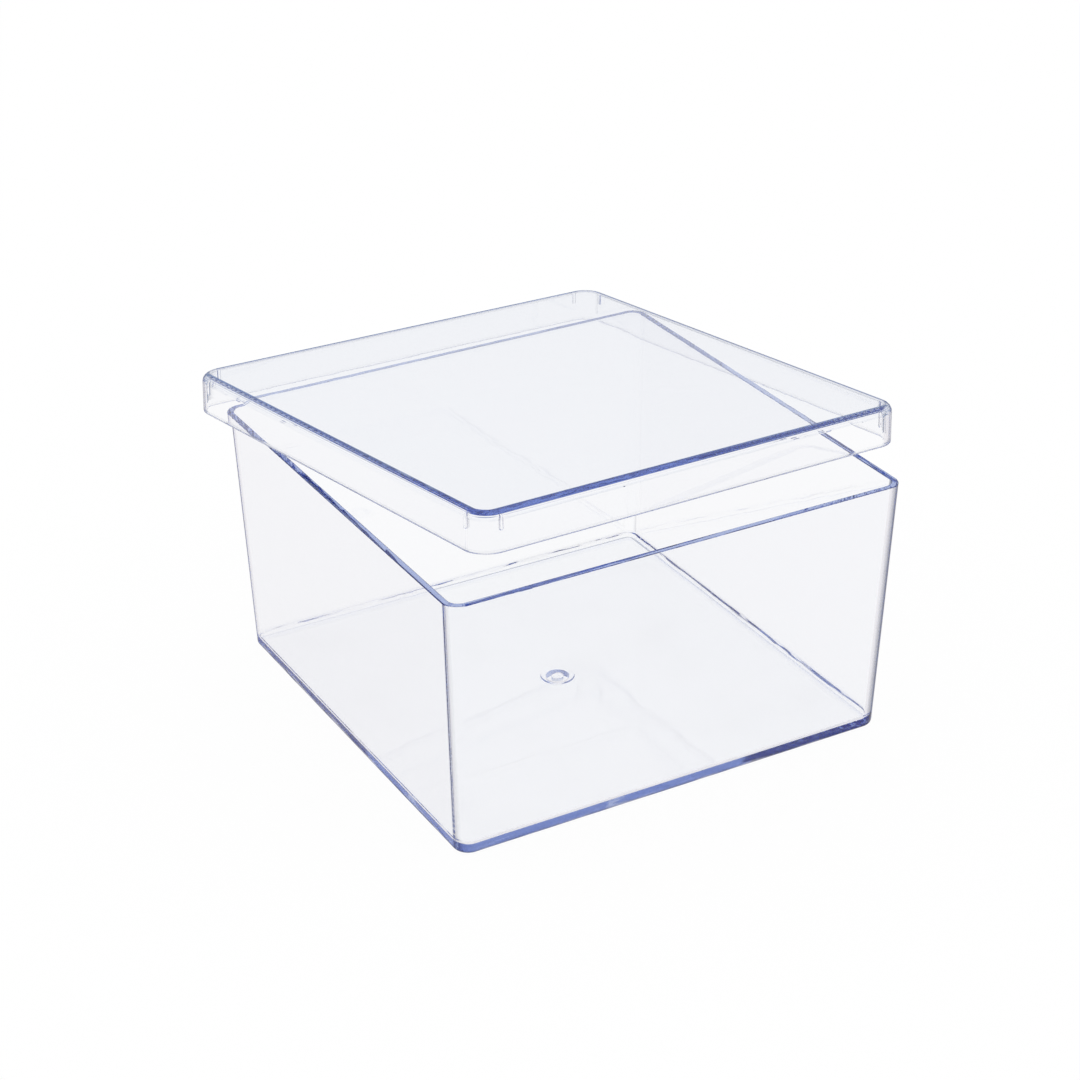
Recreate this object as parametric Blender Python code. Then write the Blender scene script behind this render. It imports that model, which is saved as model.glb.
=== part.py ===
# A square clear box with a lift-off lid, both injection moulded in clear polystyrene.
# The lid lies askew on the box: turned, pushed back and resting on three points.
# Metres, +Z up. The two together stand on z = 0 with the middle of their footprint on the
# origin. The box's front and left walls are on its -Y and -X sides.

import math

import bmesh
import bpy
import numpy as np
from mathutils import Euler, Matrix, Vector

# The box, across flats on the outside
RIM_SIDE = 0.1500
BOX_HEIGHT = 0.0825
BOX_DRAFT = math.radians(2.0)
BOX_WALL = 0.0020
FLOOR_THICKNESS = 0.0024
BOX_CORNER_RADIUS = 0.0050
BOX_INNER_RADIUS = 0.0034
FOOT_EDGE_RADIUS = 0.0016
FLOOR_FILLET = 0.0018
RIM_EDGE_RADIUS = 0.0003

# The gate mark in the middle of the floor: a low button inside the box and, under it,
# a round well with the stub of the sprue hanging in it, short of the table
GATE_BUTTON_BASE = 0.0108
GATE_BUTTON_TOP = 0.0104
GATE_BUTTON_HEIGHT = 0.0004
GATE_WELL_DIAMETER = 0.0074
GATE_WELL_DEPTH = 0.0020
GATE_STUB_DIAMETER = 0.0039
GATE_STUB_LENGTH = 0.0012

# The lid
LID_CLEARANCE = 0.00085
LID_WALL = 0.0018
LID_PLATE = 0.0020
LID_HEIGHT = 0.0123
LID_DRAFT = math.radians(0.5)
LID_EDGE_RADIUS = 0.0025
LID_FILLET = 0.0008
LID_LIP_RADIUS = 0.0006

# Half-round ribs inside the skirt, one each side of every corner
RIB_WIDTH = 0.0012
RIB_END_RADIUS = 0.0005
RIB_CLEARANCE = 0.00015
RIB_LENGTH = 0.0040
RIB_FROM_ARC = 0.0005

# How the lid lies: turned about the vertical and pushed back, then left to rest
LID_TURN = math.radians(6.7)
LID_PUSH_BACK = 0.0172
SEAT_GAP = 0.0003

# The plastic
PLASTIC_COLOUR = (0.90, 0.93, 1.0, 1.0)
PLASTIC_ROUGHNESS = 0.03
PLASTIC_IOR = 1.59

# Steps round a plan corner, a rounded edge, a lip, a gate circle and a rib
CORNER_STEPS = 16
EDGE_STEPS = 6
LIP_STEPS = 3
GATE_STEPS = 48
RIB_STEPS = 16

# How far an added shape reaches into the wall that it grows from
ROOT = 0.0006

# Two positions closer than this count as one, and edges sharper than this stay sharp
MERGE = 1e-6
SHARP_ANGLE = math.radians(30)

# The search for the resting pose
POSE_STEP = 1e-5
POSE_ROUNDS = 20

# What follows from the sizes above
LID_SIDE = RIM_SIDE + 2 * (LID_CLEARANCE + LID_WALL)
LID_CORNER_RADIUS = BOX_CORNER_RADIUS + LID_CLEARANCE + LID_WALL
RIB_PROUD = LID_CLEARANCE - RIB_CLEARANCE


def clear_scene():
    for item in list(bpy.data.objects):
        bpy.data.objects.remove(item, do_unlink=True)


def new_collection(name):
    group = bpy.data.collections.new(name)
    bpy.context.scene.collection.children.link(group)
    return group


def clear_plastic(name):
    material = bpy.data.materials.new(name)
    material.use_nodes = True
    shader = material.node_tree.nodes["Principled BSDF"]
    shader.inputs["Base Color"].default_value = PLASTIC_COLOUR
    shader.inputs["Roughness"].default_value = PLASTIC_ROUGHNESS
    shader.inputs["Metallic"].default_value = 0.0
    shader.inputs["Transmission Weight"].default_value = 1.0
    shader.inputs["IOR"].default_value = PLASTIC_IOR
    return material


def new_object(name, bm, group):
    mesh = bpy.data.meshes.new(name)
    bm.to_mesh(mesh)
    bm.free()
    item = bpy.data.objects.new(name, mesh)
    group.objects.link(item)
    return item


def finish_surface(item, material):
    item.data.materials.clear()
    item.data.materials.append(material)
    item.data.shade_smooth()
    item.data.set_sharp_from_angle(angle=SHARP_ANGLE)


def round_edges(bm, edges, radius, steps):
    bmesh.ops.bevel(bm, geom=edges, offset=radius, segments=steps, profile=0.5, affect="EDGES")


def sharp_edges_at(bm, level):
    """Edges that lie at one level and turn a corner there."""
    found = []
    for edge in bm.edges:
        flat = all(abs(v.co.z - level) < MERGE for v in edge.verts)
        if flat and edge.calc_face_angle() > SHARP_ANGLE:
            found.append(edge)
    return found


def square_tray(*, mouth_side, depth, draft, wall, plate, corner_radius, edge_radius, fillet, lip_radius):
    """An open tray with its closed end on z = 0 and its mouth up at z = depth."""
    lean = math.tan(draft)
    bm = bmesh.new()
    bmesh.ops.create_cube(bm, size=1.0)
    for v in bm.verts:
        level = depth if v.co.z > 0 else 0.0
        half = mouth_side / 2 - (depth - level) * lean
        v.co = Vector((math.copysign(half, v.co.x), math.copysign(half, v.co.y), level))

    upright = [e for e in bm.edges if abs(e.verts[0].co.z - e.verts[1].co.z) > depth / 2]
    round_edges(bm, upright, corner_radius, CORNER_STEPS)

    mouth = max(bm.faces, key=lambda f: f.calc_center_median().z)
    bmesh.ops.inset_region(bm, faces=[mouth], thickness=wall, use_even_offset=True)
    sunk = bmesh.ops.extrude_face_region(bm, geom=[mouth])
    bmesh.ops.delete(bm, geom=[mouth], context="FACES")
    drop = depth - plate
    for v in (g for g in sunk["geom"] if isinstance(g, bmesh.types.BMVert)):
        v.co.x -= math.copysign(drop * lean, v.co.x)
        v.co.y -= math.copysign(drop * lean, v.co.y)
        v.co.z = plate

    round_edges(bm, sharp_edges_at(bm, plate), fillet, EDGE_STEPS)
    round_edges(bm, sharp_edges_at(bm, 0.0), edge_radius, EDGE_STEPS)
    round_edges(bm, sharp_edges_at(bm, depth), lip_radius, LIP_STEPS)
    return bm


def widen_inner_corners(bm):
    """Gives the inside of the box's upright corners their own radius and keeps their sections.

    Every vertex inside the box belongs to a corner: the flats between them have none.
    """
    even_radius = BOX_CORNER_RADIUS - BOX_WALL
    growth = BOX_INNER_RADIUS - even_radius
    for v in bm.verts:
        centre = RIM_SIDE / 2 - (BOX_HEIGHT - v.co.z) * math.tan(BOX_DRAFT) - BOX_CORNER_RADIUS
        offset = Vector((abs(v.co.x) - centre, abs(v.co.y) - centre))
        if v.co.z > FLOOR_THICKNESS - MERGE and offset.length < even_radius + BOX_WALL / 2:
            offset *= (offset.length + growth) / offset.length
            v.co.x = math.copysign(centre - growth + offset.x, v.co.x)
            v.co.y = math.copysign(centre - growth + offset.y, v.co.y)


def combine(item, tool, operation):
    """Joins the tool to the item or cuts it out, and keeps the result as the item's own mesh."""
    tool.hide_render = True
    tool.display_type = "WIRE"
    step = item.modifiers.new(operation.lower(), "BOOLEAN")
    step.object = tool
    step.operation = operation
    step.solver = "EXACT"
    graph = bpy.context.evaluated_depsgraph_get()
    result = bpy.data.meshes.new_from_object(item.evaluated_get(graph))
    item.modifiers.clear()
    item.data = result


def add_round(bm, place, bottom, top, bottom_width, top_width, steps):
    made = bmesh.ops.create_cone(
        bm, cap_ends=True, segments=steps, radius1=bottom_width / 2, radius2=top_width / 2,
        depth=top - bottom, matrix=Matrix.Translation((*place, (bottom + top) / 2)),
    )
    return made["verts"]


def combine_gate_piece(box, cutters, name, operation, bottom, top, bottom_width, top_width):
    bm = bmesh.new()
    add_round(bm, (0.0, 0.0), bottom, top, bottom_width, top_width, GATE_STEPS)
    combine(box, new_object(name, bm, cutters), operation)


def make_box(parts, cutters):
    shape = square_tray(
        mouth_side=RIM_SIDE, depth=BOX_HEIGHT, draft=BOX_DRAFT, wall=BOX_WALL, plate=FLOOR_THICKNESS,
        corner_radius=BOX_CORNER_RADIUS, edge_radius=FOOT_EDGE_RADIUS, fillet=FLOOR_FILLET,
        lip_radius=RIM_EDGE_RADIUS,
    )
    widen_inner_corners(shape)
    box = new_object("box_base", shape, parts)

    # The button's cone keeps its slope down to its root in the floor
    button_root = GATE_BUTTON_BASE + (GATE_BUTTON_BASE - GATE_BUTTON_TOP) * ROOT / GATE_BUTTON_HEIGHT
    combine_gate_piece(
        box, cutters, "gate_button", "UNION", FLOOR_THICKNESS - ROOT, FLOOR_THICKNESS + GATE_BUTTON_HEIGHT,
        button_root, GATE_BUTTON_TOP,
    )
    combine_gate_piece(
        box, cutters, "gate_well", "DIFFERENCE", -GATE_WELL_DEPTH, GATE_WELL_DEPTH,
        GATE_WELL_DIAMETER, GATE_WELL_DIAMETER,
    )
    combine_gate_piece(
        box, cutters, "gate_stub", "UNION", GATE_WELL_DEPTH - GATE_STUB_LENGTH, GATE_WELL_DEPTH + ROOT,
        GATE_STUB_DIAMETER, GATE_STUB_DIAMETER,
    )
    finish_surface(box, clear_plastic("box_plastic"))
    return box


def rib_places():
    """Plan positions of the ribs' axes, on the lid's own axes."""
    inner = LID_SIDE / 2 - LID_WALL + RIB_WIDTH / 2 - RIB_PROUD
    along = LID_SIDE / 2 - LID_CORNER_RADIUS - RIB_FROM_ARC
    for sx in (-1, 1):
        for sy in (-1, 1):
            yield sx * inner, sy * along
            yield sx * along, sy * inner


def make_lid(parts, cutters):
    shape = square_tray(
        mouth_side=LID_SIDE, depth=LID_HEIGHT, draft=LID_DRAFT, wall=LID_WALL, plate=LID_PLATE,
        corner_radius=LID_CORNER_RADIUS, edge_radius=LID_EDGE_RADIUS, fillet=LID_FILLET,
        lip_radius=LID_LIP_RADIUS,
    )
    mouth_down = Matrix.Translation((0, 0, LID_HEIGHT)) @ Matrix.Rotation(math.pi, 4, "X")
    bmesh.ops.transform(shape, matrix=mouth_down, verts=shape.verts)
    lid = new_object("lid", shape, parts)

    ribs = bmesh.new()
    under_plate = LID_HEIGHT - LID_PLATE
    bottom = under_plate - RIB_LENGTH
    for place in rib_places():
        rib = add_round(ribs, place, bottom, under_plate + ROOT, RIB_WIDTH, RIB_WIDTH, RIB_STEPS)
        around = {e for v in rib for e in v.link_edges if all(w.co.z - bottom < MERGE for w in e.verts)}
        round_edges(ribs, list(around), RIB_END_RADIUS, LIP_STEPS)
    combine(lid, new_object("lid_ribs", ribs, cutters), "UNION")

    finish_surface(lid, clear_plastic("lid_plastic"))
    return lid


def crest(width, radius):
    """Lines along a wall's rounded crest: how far in from its face, and how far below its top."""
    turn = np.linspace(0.0, math.pi / 2, LIP_STEPS + 1)
    inward = radius * (1 - np.sin(turn))
    drop = radius * (1 - np.cos(turn))
    return np.concatenate([inward, width - inward]), np.concatenate([drop, drop])


def lid_frame(x, z, roll, pitch):
    """The lid's own frame, with its mouth on z = 0 and its plate up."""
    return Matrix.Translation((x, LID_PUSH_BACK, z)) @ Euler((roll, pitch, LID_TURN)).to_matrix().to_4x4()


def skirt_over_wall(turn, shift, across, side):
    """Height of the lid's lip over a side wall's rim where one skirt crosses it.

    across is the lid axis that the skirt faces along, and side is -1 for the left wall, 1 for the right.
    """
    inward, lip = crest(LID_WALL, LID_LIP_RADIUS)
    lines = np.zeros((len(inward), 3))
    lines[:, across] = inward - LID_SIDE / 2
    lines[:, 2] = lip
    points = lines @ turn.T + shift
    way = turn[:, 1 - across]

    inward, drop = crest(BOX_WALL, RIM_EDGE_RADIUS)
    rim = side * (RIM_SIDE / 2 - inward)
    reach = (rim - points[:, :1]) / way[0]
    return (points[:, 2:] + reach * way[2] - (BOX_HEIGHT - drop)).min()


def plate_over_corner(turn, shift):
    """Height of the plate's underside over the back right corner of the rim."""
    inward, drop = crest(BOX_WALL, RIM_EDGE_RADIUS)
    centre = RIM_SIDE / 2 - BOX_CORNER_RADIUS
    up = turn[:, 2]
    lean = math.hypot(up[0], up[1])
    reach = (up[0] + up[1]) * centre + lean * (BOX_CORNER_RADIUS - inward) + up[2] * (BOX_HEIGHT - drop)
    return LID_HEIGHT - LID_PLATE - (reach - up @ shift).max()


def skirt_beside_corner(turn, shift):
    """Room between the right skirt's inner face and the box's back right corner.

    Tried at the top of the rim's straight face and where the skirt's own straight face ends.
    """
    facing = turn[:, 0]
    outward = facing[:2] / math.hypot(facing[0], facing[1])
    room = []
    below = RIM_EDGE_RADIUS
    for _ in range(2):
        centre = RIM_SIDE / 2 - BOX_CORNER_RADIUS - below * math.tan(BOX_DRAFT)
        plan = centre + BOX_CORNER_RADIUS * outward
        point = (np.append(plan, BOX_HEIGHT - below) - shift) @ turn
        room.append(LID_SIDE / 2 - LID_WALL - point[2] * math.tan(LID_DRAFT) - point[0])
        below += point[2] - LID_LIP_RADIUS
    return min(room)


def lid_gaps(pose):
    """Gaps at the lid's three seats, and beside the corner that it has slid against."""
    frame = lid_frame(*pose)
    turn = np.array(frame.to_3x3())
    shift = np.array(frame.translation)
    return np.array([
        skirt_over_wall(turn, shift, 0, -1),
        skirt_over_wall(turn, shift, 1, 1),
        plate_over_corner(turn, shift),
        skirt_beside_corner(turn, shift),
    ])


def resting_frame():
    """Newton's method on sideways shift, height and the two tilts, until every gap is the seat gap."""
    pose = np.array([0.0, BOX_HEIGHT, 0.0, 0.0])
    for _ in range(POSE_ROUNDS):
        gaps = lid_gaps(pose)
        slopes = np.array([(lid_gaps(pose + POSE_STEP * axis) - gaps) / POSE_STEP for axis in np.eye(4)]).T
        pose -= np.linalg.solve(slopes, gaps - SEAT_GAP)
    return lid_frame(*pose)


def new_empty(name, group):
    empty = bpy.data.objects.new(name, None)
    group.objects.link(empty)
    return empty


def centre_in_plan(carrier, items):
    """Moves the carrier until the middle of its items' footprint is on the origin."""
    bpy.context.view_layer.update()
    points = np.array([item.matrix_world @ v.co for item in items for v in item.data.vertices])
    middle = (points.min(axis=0) + points.max(axis=0)) / 2
    carrier.location = (-middle[0], -middle[1], 0.0)


def main():
    clear_scene()
    parts = new_collection("plastic_cake_box")
    cutters = new_collection("cutters")
    box = make_box(parts, cutters)
    lid = make_lid(parts, cutters)

    table_spot = new_empty("table_spot", parts)
    box.parent = table_spot
    seat = new_empty("lid_seat", parts)
    seat.parent = table_spot
    seat.matrix_local = resting_frame()
    lid.parent = seat
    centre_in_plan(table_spot, [box, lid])


main()
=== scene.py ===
# A clear moulded cake box with its lid lying askew, on a white studio floor.

import math

import bpy
from mathutils import Matrix, Vector

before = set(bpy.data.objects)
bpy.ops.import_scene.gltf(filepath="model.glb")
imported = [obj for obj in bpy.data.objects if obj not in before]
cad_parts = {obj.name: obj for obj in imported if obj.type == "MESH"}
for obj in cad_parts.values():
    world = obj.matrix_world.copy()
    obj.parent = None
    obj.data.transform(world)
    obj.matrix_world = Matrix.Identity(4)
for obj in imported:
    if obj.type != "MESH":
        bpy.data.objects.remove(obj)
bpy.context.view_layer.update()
print("frame loaded")

scene = bpy.context.scene
scene.view_settings.view_transform = "Standard"

# The photographer's place, worked out from the box's own edges
photoView = {
    "lookAt": (-0.05903, -0.10047, 0.10331),
    "azimuth": 29.209,       # degrees round from the front, towards the left
    "elevation": 27.611,     # degrees above the floor
    "distance": 0.69988,
    "roll": -0.529,          # degrees
    "lens": 88.52,           # mm
    "sensorWidth": 36.0,     # mm
    "clip": (0.01, 60.0),
}


def makeCamera(view):
    azimuth = math.radians(view["azimuth"])
    elevation = math.radians(view["elevation"])
    flat = math.cos(elevation)
    away = Vector((-math.sin(azimuth) * flat, -math.cos(azimuth) * flat, math.sin(elevation)))
    right = away.cross(Vector((0, 0, -1))).normalized()
    up = away.cross(right)
    level = Matrix((right, up, away)).transposed()
    turned = level @ Matrix.Rotation(math.radians(view["roll"]), 3, "Z")
    lens = bpy.data.cameras.new("photoCamera")
    lens.sensor_width = view["sensorWidth"]
    lens.lens = view["lens"]
    lens.clip_start, lens.clip_end = view["clip"]
    camera = bpy.data.objects.new("photoCamera", lens)
    spot = Vector(view["lookAt"]) + view["distance"] * away
    camera.matrix_world = Matrix.Translation(spot) @ turned.to_4x4()
    scene.collection.objects.link(camera)
    scene.camera = camera


makeCamera(photoView)
print("camera placed")


# Small helpers for node trees: what they are given is a socket to link or a plain value
def addNode(tree, kind, place=(0, 0), **values):
    node = tree.nodes.new(kind)
    node.location = place
    for name, value in values.items():
        setattr(node, name, value)
    return node


def feed(tree, given, socket):
    if isinstance(given, bpy.types.NodeSocket):
        tree.links.new(given, socket)
    else:
        socket.default_value = given


def addMath(tree, operation, place, *given, clamp=False):
    node = addNode(tree, "ShaderNodeMath", place, operation=operation, use_clamp=clamp)
    for value, socket in zip(given, node.inputs):
        feed(tree, value, socket)
    return node.outputs[0]


def addVectorMath(tree, operation, place, *given, result="Vector"):
    node = addNode(tree, "ShaderNodeVectorMath", place, operation=operation)
    for value, socket in zip(given, node.inputs):
        feed(tree, value, socket)
    return node.outputs[result]


def addRange(tree, place, value, start, end, low=0.0, high=1.0, kind="LINEAR"):
    node = addNode(tree, "ShaderNodeMapRange", place, interpolation_type=kind)
    names = ("Value", "From Min", "From Max", "To Min", "To Max")
    for name, given in zip(names, (value, start, end, low, high)):
        feed(tree, given, node.inputs[name])
    return node.outputs["Result"]


def addNoise(tree, place, vector, scale, detail):
    node = addNode(tree, "ShaderNodeTexNoise", place)
    for name, given in (("Vector", vector), ("Scale", scale), ("Detail", detail)):
        feed(tree, given, node.inputs[name])
    return node.outputs["Fac"]


def addMix(tree, place, factor, first, second):
    node = addNode(tree, "ShaderNodeMix", place, data_type="RGBA")
    for name, given in (("Factor", factor), ("A", first), ("B", second)):
        feed(tree, given, node.inputs[name])
    return node.outputs["Result"]


def splitVector(tree, place, vector):
    node = addNode(tree, "ShaderNodeSeparateXYZ", place)
    tree.links.new(vector, node.inputs[0])
    return node.outputs


# The larger of a vector's sideways parts, and its upward part, whichever way they point
def addReach(tree, place, vector):
    x, y = place
    parts = splitVector(tree, (x + 200, y), addVectorMath(tree, "ABSOLUTE", place, vector))
    return addMath(tree, "MAXIMUM", (x + 400, y), parts["X"], parts["Y"]), parts["Z"]


def startGroup(name, inputs, outputs, left, right):
    group = bpy.data.node_groups.new(name, "ShaderNodeTree")
    for label, value in inputs.items():
        kind = "NodeSocketVector" if isinstance(value, tuple) else "NodeSocketFloat"
        socket = group.interface.new_socket(label, in_out="INPUT", socket_type=kind)
        socket.default_value = value
    for label in outputs:
        group.interface.new_socket(label, in_out="OUTPUT", socket_type="NodeSocketFloat")
    given = addNode(group, "NodeGroupInput", (left, 0))
    result = addNode(group, "NodeGroupOutput", (right, 0))
    return group, given.outputs, result.inputs


surfaceShape = {
    "floorNormal": 0.9,              # a face that looks up by more than this is floor
    "hazeFrom": 0.45,                # noise level where a haze patch starts
    "hazeTo": 0.75,                  # and where it is full
    "hazeDetail": 3.0,
    "flowDetail": 1.0,
    "footStretch": (1.0, 1.0, 5.0),  # draws the foot's ripple out along the foot
}


# Faint haze on the floor of a moulding, the slow ripple of its flow, and a stronger one round its foot
def makeMouldedSurface(shape):
    inputs = {
        "Polish": 0.0, "Haze": 0.0, "Haze Size": 40.0, "Haze Top": 0.0,
        "Flow Height": 0.0, "Flow Size": 80.0, "Foot Flow": 0.0, "Foot Size": 70.0,
    }
    group, given, result = startGroup("mouldedSurface", inputs, ("Roughness", "Height"), -900, 200)
    where = addNode(group, "ShaderNodeTexCoord", (-900, -300)).outputs
    place = splitVector(group, (-600, 500), where["Object"])
    way = splitVector(group, (-600, 700), where["Normal"])
    low = addMath(group, "LESS_THAN", (-400, 500), place["Z"], given["Haze Top"])

    upward = addMath(group, "GREATER_THAN", (-400, 700), way["Z"], shape["floorNormal"])
    floor = addMath(group, "MULTIPLY", (-200, 600), low, upward)
    rubbed = addNoise(group, (-600, 200), where["Object"], given["Haze Size"], shape["hazeDetail"])
    patches = addRange(
        group, (-350, 200), rubbed, shape["hazeFrom"], shape["hazeTo"], given["Polish"], given["Haze"])
    feed(group, addMath(group, "MULTIPLY", (0, 400), patches, floor), result["Roughness"])

    flow = addNoise(group, (-600, -200), where["Object"], given["Flow Size"], shape["flowDetail"])
    raised = addMath(group, "MULTIPLY", (-350, -200), flow, given["Flow Height"])
    drawn = addVectorMath(group, "MULTIPLY", (-750, -500), where["Object"], shape["footStretch"])
    ripple = addNoise(group, (-600, -500), drawn, given["Foot Size"], shape["flowDetail"])
    rippled = addMath(group, "MULTIPLY", (-350, -500), ripple, given["Foot Flow"])
    upright = addMath(group, "COMPARE", (-400, -700), way["Z"], 0.0, shape["floorNormal"])
    side = addMath(group, "MULTIPLY", (-200, -600), upright, low)
    atFoot = addMath(group, "MULTIPLY", (-200, -400), rippled, side)
    feed(group, addMath(group, "ADD", (0, -300), raised, atFoot), result["Height"])
    return group


edgeShape = {
    "square": 0.9990,        # a face whose normal follows an axis by more than this is flat
    "round": 0.9945,         # and one whose normal does so by less than this is rounded
    "topNormal": 0.88,       # a face that looks up by more than this is the top
    "filletNormal": 0.50,    # the upward part of a fillet's normals, about the middle
    "filletSpread": 0.44,    # and how far they lie from it
    "ribNormal": 0.5,        # ribs and skirts look up or down by less than this
}


# Masks for a moulding's rounded edges, outer border and ribs, which the plastic darkens with painted
# shade, and the roughness of its lip and floor fillet. Turn and Shift stand it upright on the origin,
# so heights and reaches, in metres, are its own.
def makeMouldedEdges(shape):
    inputs = {
        "Turn": (0.0, 0.0, 0.0), "Shift": (0.0, 0.0, 0.0),
        "Lip Height": -1.0, "Lip Softness": 0.0,
        "Fillet Height": -1.0, "Fillet Reach": 0.0, "Fillet Softness": 0.0,
        "Border Reach": 1.0, "Border Fade": 0.0005, "Rib Height": 1.0, "Rib Reach": 0.0,
    }
    outputs = ("Rounding", "Border", "Ribs", "Softness")
    group, given, result = startGroup("mouldedEdges", inputs, outputs, -1100, 500)
    where = addNode(group, "ShaderNodeTexCoord", (-1100, -300)).outputs
    turned = addNode(group, "ShaderNodeMapping", (-900, 200), vector_type="VECTOR")
    placed = addNode(group, "ShaderNodeMapping", (-900, -300), vector_type="POINT")
    feed(group, where["Normal"], turned.inputs["Vector"])
    feed(group, where["Object"], placed.inputs["Vector"])
    feed(group, given["Turn"], turned.inputs["Rotation"])
    feed(group, given["Turn"], placed.inputs["Rotation"])
    feed(group, given["Shift"], placed.inputs["Location"])
    up = splitVector(group, (-500, 100), turned.outputs[0])["Z"]
    reach, height = addReach(group, (-700, -300), placed.outputs[0])
    sideways, upwards = addReach(group, (-700, 300), turned.outputs[0])
    squarest = addMath(group, "MAXIMUM", (-150, 300), sideways, upwards)
    rounded = addRange(group, (0, 300), squarest, shape["square"], shape["round"])

    hollow = addMath(group, "COMPARE", (-300, -750), up, shape["filletNormal"], shape["filletSpread"])
    low = addMath(group, "LESS_THAN", (-500, -750), height, given["Fillet Height"])
    outer = addMath(group, "GREATER_THAN", (-300, -900), reach, given["Fillet Reach"])
    lowHollow = addMath(group, "MULTIPLY", (-150, -750), hollow, low)
    fillet = addMath(group, "MULTIPLY", (0, -750), lowHollow, outer)

    aboveLip = addMath(group, "GREATER_THAN", (-500, -600), height, given["Lip Height"])
    edges = addMath(group, "MULTIPLY", (200, 200), rounded, aboveLip)
    feed(group, addMath(group, "SUBTRACT", (350, 200), edges, fillet, clamp=True), result["Rounding"])

    past = addMath(group, "SUBTRACT", (-150, -300), reach, given["Border Reach"])
    band = addMath(group, "DIVIDE", (0, -300), past, given["Border Fade"], clamp=True)
    top = addMath(group, "GREATER_THAN", (-300, -100), up, shape["topNormal"])
    feed(group, addMath(group, "MULTIPLY", (200, -200), band, top), result["Border"])

    aboveFoot = addMath(group, "GREATER_THAN", (-500, -1050), height, given["Rib Height"])
    within = addMath(group, "LESS_THAN", (-500, -1200), reach, given["Rib Reach"])
    ribArea = addMath(group, "MULTIPLY", (-150, -1100), aboveFoot, within)
    upright = addMath(group, "COMPARE", (-300, -1350), up, 0.0, shape["ribNormal"])
    ribSides = addMath(group, "MULTIPLY", (0, -1200), ribArea, upright)
    feed(group, addMath(group, "MULTIPLY", (200, -1100), ribSides, rounded), result["Ribs"])

    atLip = addMath(group, "SUBTRACT", (-300, -600), 1.0, aboveLip)
    softLip = addMath(group, "MULTIPLY", (200, -600), atLip, given["Lip Softness"])
    softFillet = addMath(group, "MULTIPLY", (200, -750), fillet, given["Fillet Softness"])
    feed(group, addMath(group, "MAXIMUM", (350, -650), softLip, softFillet), result["Softness"])
    return group


mouldedSurface = makeMouldedSurface(surfaceShape)
mouldedEdges = makeMouldedEdges(edgeShape)
print("finish groups made")


# Clear polystyrene: water clear through a wall, blue along it. Edges get painted shade in the base
# colour, from one slant of the surface to another, where 0 faces the viewer and 1 is edge on.
boxPlastic = {
    "tint": (1.0, 1.0, 1.0, 1.0),
    # Painted shade: a dark blue base colour on the rounded edges and rib outlines, standing in for dark
    # surroundings seen in them
    "paintedEdgeShade": (0.010, 0.030, 0.10, 1.0),
    "edgeFrom": 0.25,
    "edgeTo": 0.65,
    "ribFrom": 0.2,
    "ribTo": 0.6,
    # Painted shade: a darker blue band painted along the outer border of the lid's top
    "paintedBorderShade": (0.04, 0.09, 0.27, 1.0),
    "borderFrom": 0.44,
    "borderTo": 0.60,
    "depthColour": (0.02, 0.24, 0.76, 1.0),
    "depthDensity": 9.0,
    "ior": 1.59,
    "rippleDepth": 0.001,
    "flatWeight": 100,       # how far the large faces keep their normals
    "surface": {
        "Polish": 0.03,
        "Haze": 0.12,
        "Haze Size": 40.0,
        "Haze Top": 0.0025,      # metres above the table, just over the floor of the box
        "Flow Height": 0.025,
        "Flow Size": 80.0,
        "Foot Flow": 1.4,
        "Foot Size": 70.0,
    },
    "edges": {
        "Fillet Height": 0.0045,
        "Fillet Reach": 0.06,
        "Fillet Softness": 0.15,
    },
}

# The lid is the same plastic, with a lip, ribs and a painted shade band along the border of its top,
# over its skirt
lidPlastic = boxPlastic | {
    "edgeFrom": 0.5,
    "edgeTo": 0.9,
    "surface": {"Flow Height": 0.025, "Flow Size": 80.0},
    "edges": {
        "Lip Height": 0.0009,
        "Lip Softness": 0.2,
        "Border Reach": 0.0746,
        "Border Fade": 0.0003,
        "Rib Height": 0.0025,
        "Rib Reach": 0.07585,
    },
}


# Stands a moulding upright and square on the origin, however it lies, by its largest face that looks
# up and its largest that looks to the right
def standUpright(nodeName):
    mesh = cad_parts[nodeName].data
    up = max(mesh.polygons, key=lambda face: face.area * face.normal.z).normal
    side = max(mesh.polygons, key=lambda face: face.area * face.normal.x).normal
    back = up.cross(side).normalized()
    upright = Matrix((back.cross(up), back, up))
    spots = [upright @ vertex.co for vertex in mesh.vertices]
    across, along, height = ([spot[axis] for spot in spots] for axis in range(3))
    shift = (-(min(across) + max(across)) / 2, -(min(along) + max(along)) / 2, -min(height))
    return {"Turn": upright.to_euler(), "Shift": shift}


def addGroup(tree, place, group, values):
    node = addNode(tree, "ShaderNodeGroup", place, node_tree=group)
    for name, value in values.items():
        node.inputs[name].default_value = value
    return node.outputs


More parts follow.
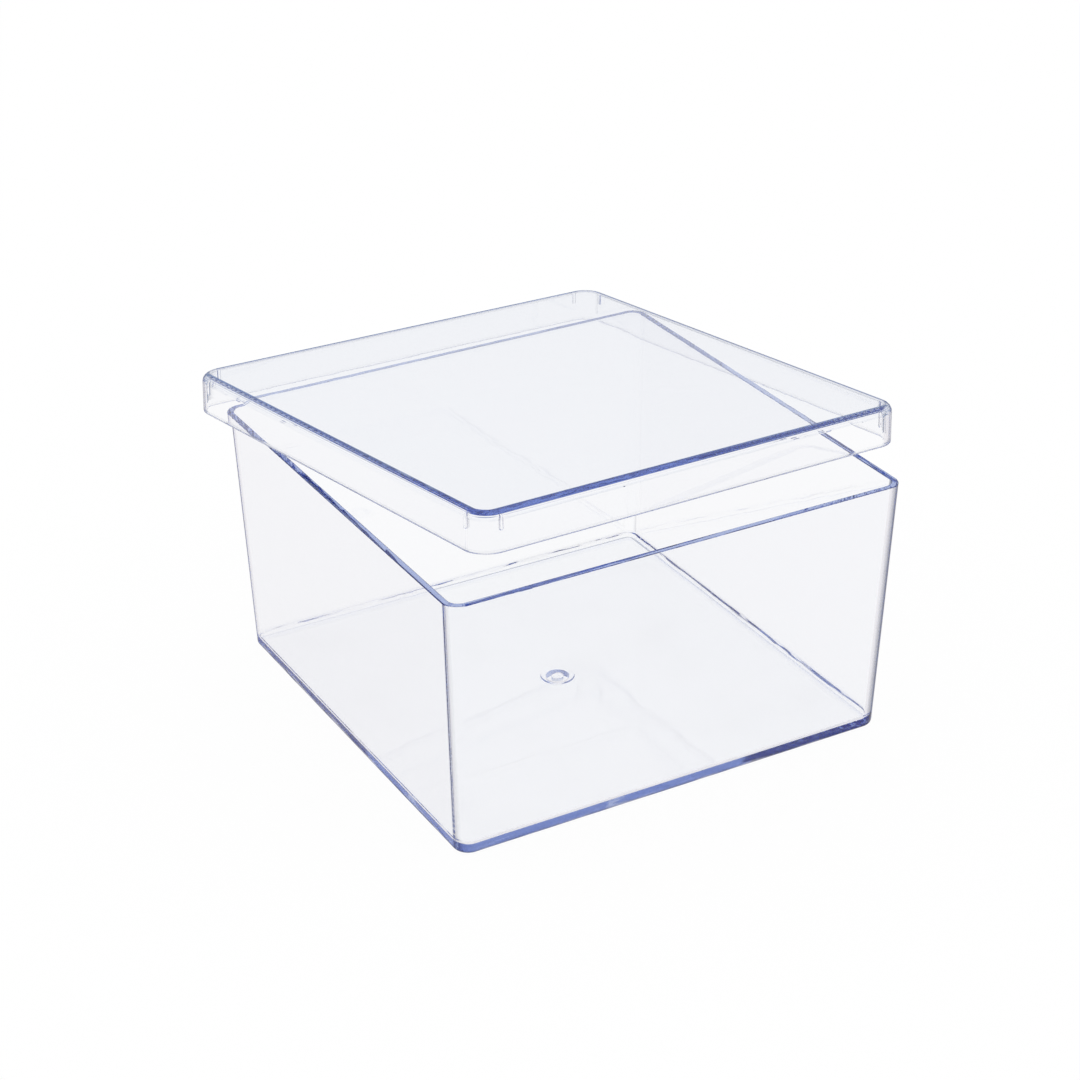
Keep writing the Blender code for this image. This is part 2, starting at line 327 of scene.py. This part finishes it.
def makeClearPlastic(name, look, nodeName):
    material = bpy.data.materials.new(name)
    material.use_nodes = True
    tree = material.node_tree
    shader = tree.nodes["Principled BSDF"]
    shader.inputs["Metallic"].default_value = 0.0
    shader.inputs["Transmission Weight"].default_value = 1.0
    shader.inputs["IOR"].default_value = look["ior"]
    surface = addGroup(tree, (-500, 0), mouldedSurface, look["surface"])
    edges = addGroup(tree, (-900, 500), mouldedEdges, look["edges"] | standUpright(nodeName))
    slant = addNode(tree, "ShaderNodeLayerWeight", (-900, 300)).outputs["Facing"]
    direct = addNode(tree, "ShaderNodeLightPath", (-900, 900)).outputs["Is Camera Ray"]

    # Painted shade: the outlines and the border are darkened only where the camera sees them straight,
    # the rib lines everywhere
    grazing = addRange(tree, (-700, 300), slant, look["edgeFrom"], look["edgeTo"])
    outline = addMath(tree, "MULTIPLY", (-500, 300), grazing, edges["Rounding"])
    seenOutline = addMath(tree, "MULTIPLY", (-350, 300), outline, direct)
    ribSlant = addRange(tree, (-700, 600), slant, look["ribFrom"], look["ribTo"])
    ribLines = addMath(tree, "MULTIPLY", (-500, 600), ribSlant, edges["Ribs"])
    lines = addMath(tree, "MAXIMUM", (-200, 450), seenOutline, ribLines)
    borderSlant = addRange(tree, (-700, 900), slant, look["borderFrom"], look["borderTo"])
    borderLine = addMath(tree, "MULTIPLY", (-500, 900), borderSlant, edges["Border"])
    seenBorder = addMath(tree, "MULTIPLY", (-350, 900), borderLine, direct)
    # Painted shade: rounded edges and ribs turn towards the dark blue as they slant away from the
    # viewer
    paintedOutlines = addMix(tree, (-350, 150), lines, look["tint"], look["paintedEdgeShade"])
    # Painted shade: the lid's top border turns dark blue where the camera sees it straight
    colour = addMix(tree, (-150, 200), seenBorder, paintedOutlines, look["paintedBorderShade"])
    feed(tree, colour, shader.inputs["Base Color"])

    roughness = addMath(tree, "MAXIMUM", (-250, 0), surface["Roughness"], edges["Softness"])
    feed(tree, roughness, shader.inputs["Roughness"])
    bump = addNode(tree, "ShaderNodeBump", (-250, -150))
    bump.inputs["Distance"].default_value = look["rippleDepth"]
    feed(tree, surface["Height"], bump.inputs["Height"])
    feed(tree, bump.outputs["Normal"], shader.inputs["Normal"])
    depth = addNode(tree, "ShaderNodeVolumeAbsorption", (0, -300))
    depth.inputs["Color"].default_value = look["depthColour"]
    depth.inputs["Density"].default_value = look["depthDensity"]
    feed(tree, depth.outputs["Volume"], tree.nodes["Material Output"].inputs["Volume"])
    return material


# Weighted normals keep the large faces flat up to their rounded edges
def dress(nodeName, materialName, look):
    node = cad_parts[nodeName]
    material = makeClearPlastic(materialName, look, nodeName)
    for slot in node.material_slots:
        slot.material = material
    flats = node.modifiers.new("flatFaces", "WEIGHTED_NORMAL")
    flats.mode = "FACE_AREA"
    flats.weight = look["flatWeight"]
    flats.keep_sharp = True


dress("box_base", "clearBox", boxPlastic)
dress("lid", "clearLid", lidPlastic)
print("box and lid dressed")


# A white floor and a white room. Light that the plastic has mirrored sees a dimmer table, which
# fades into a blue room, so that the edges get their lines and the walls some shade.
studio = {
    "floorSize": 60.0,
    "floorDrop": 0.0004,
    "floorRoughness": 0.9,
    "floorGlow": 0.96,       # share of the floor that shines; the rest takes the object's shadow
    "white": (1.0, 1.0, 1.0, 1.0),
    "roomColour": (0.08, 0.17, 0.38, 1.0),
    "tableColour": (0.880, 0.858, 0.872, 1.0),
    "litRadius": 0.45,       # the table keeps its colour this far out
    "fadeRadius": 0.70,      # and is the room's colour from here on
    # Brightness at degrees above the horizon, straight behind the object as photographed and aside
    "behind": ((0.0, 0.77), (34.0, 0.77), (38.0, 0.47), (44.0, 0.47), (52.0, 1.00)),
    "aside": ((0.0, 0.60), (16.0, 0.65), (34.0, 0.75), (46.0, 1.00)),
    "behindHalfWidth": 14.0,  # degrees
    "behindFade": 8.0,        # degrees
    "worldStrength": 1.0,
    "bounces": 256,           # fewer leave black bands in the clear edges
}


# 1 for light that has been mirrored at least once, 0 for what is seen straight through the plastic
def addMirrored(tree, place, path):
    return addMath(tree, "MINIMUM", place, path["Glossy Depth"], 1.0)


def makeFloor(look):
    mesh = bpy.data.meshes.new("studioFloor")
    half = look["floorSize"] / 2
    corners = ((-half, -half), (half, -half), (half, half), (-half, half))
    mesh.from_pydata([(x, y, -look["floorDrop"]) for x, y in corners], [], [(0, 1, 2, 3)])
    floor = bpy.data.objects.new("studioFloor", mesh)
    scene.collection.objects.link(floor)
    material = bpy.data.materials.new("studioPaper")
    material.use_nodes = True
    tree = material.node_tree
    paper = tree.nodes["Principled BSDF"]
    paper.inputs["Base Color"].default_value = look["white"]
    paper.inputs["Roughness"].default_value = look["floorRoughness"]
    paper.inputs["Specular IOR Level"].default_value = 0.0
    path = addNode(tree, "ShaderNodeLightPath", (-700, 200)).outputs

    spot = addNode(tree, "ShaderNodeTexCoord", (-900, -400)).outputs["Object"]
    away = addVectorMath(tree, "LENGTH", (-700, -400), spot, result="Value")
    fading = addRange(
        tree, (-500, -400), away, look["litRadius"], look["fadeRadius"], kind="SMOOTHSTEP")
    table = addMix(tree, (-300, -450), fading, look["tableColour"], look["roomColour"])
    mirrored = addMirrored(tree, (-300, -250), path)
    glow = addNode(tree, "ShaderNodeEmission", (0, -300))
    feed(tree, addMix(tree, (-150, -350), mirrored, look["white"], table), glow.inputs["Color"])

    seen = addMath(tree, "MAXIMUM", (-200, 200), path["Is Camera Ray"], path["Is Glossy Ray"])
    either = addMath(tree, "MAXIMUM", (0, 200), seen, path["Is Transmission Ray"])
    share = addMath(tree, "MULTIPLY", (150, 200), either, look["floorGlow"])
    blend = addNode(tree, "ShaderNodeMixShader", (300, 0))
    feed(tree, share, blend.inputs["Fac"])
    feed(tree, paper.outputs["BSDF"], blend.inputs[1])
    feed(tree, glow.outputs["Emission"], blend.inputs[2])
    feed(tree, blend.outputs["Shader"], tree.nodes["Material Output"].inputs["Surface"])
    mesh.materials.append(material)


def addBands(tree, place, height, levels, dark):
    bands = addNode(tree, "ShaderNodeValToRGB", place)
    stops = bands.color_ramp.elements
    while len(stops) < len(levels):
        stops.new(1.0)
    for stop, (degrees, level) in zip(stops, levels):
        stop.position = math.sin(math.radians(degrees))
        stop.color = tuple(part + (1.0 - part) * level for part in dark)
    feed(tree, height, bands.inputs["Fac"])
    return bands.outputs["Color"]


def makeWorld(look):
    world = bpy.data.worlds.new("studioLight")
    scene.world = world
    world.use_nodes = True
    tree = world.node_tree
    glow = tree.nodes["Background"]
    glow.inputs["Strength"].default_value = look["worldStrength"]
    where = addNode(tree, "ShaderNodeTexCoord", (-900, 0)).outputs["Generated"]
    height = splitVector(tree, (-700, 0), where)["Z"]
    behind = addBands(tree, (-500, 0), height, look["behind"], look["roomColour"])
    aside = addBands(tree, (-500, -300), height, look["aside"], look["roomColour"])

    azimuth = math.radians(photoView["azimuth"])
    straightBehind = (math.sin(azimuth), math.cos(azimuth), 0.0)
    flat = addVectorMath(tree, "MULTIPLY", (-700, 300), where, (1.0, 1.0, 0.0))
    way = addVectorMath(tree, "NORMALIZE", (-550, 300), flat)
    facing = addVectorMath(tree, "DOT_PRODUCT", (-400, 300), way, straightBehind, result="Value")
    fadeEnd = math.cos(math.radians(look["behindHalfWidth"] + look["behindFade"]))
    fadeStart = math.cos(math.radians(look["behindHalfWidth"]))
    share = addRange(tree, (-250, 300), facing, fadeEnd, fadeStart, kind="SMOOTHSTEP")
    shade = addMix(tree, (-50, 0), share, aside, behind)
    path = addNode(tree, "ShaderNodeLightPath", (-250, 600)).outputs
    mirrored = addMirrored(tree, (-50, 500), path)
    feed(tree, addMix(tree, (100, 100), mirrored, look["white"], shade), glow.inputs["Color"])


makeFloor(studio)
makeWorld(studio)
scene.cycles.max_bounces = studio["bounces"]
scene.cycles.transmission_bounces = studio["bounces"]
scene.cycles.glossy_bounces = studio["bounces"]
print("studio set")
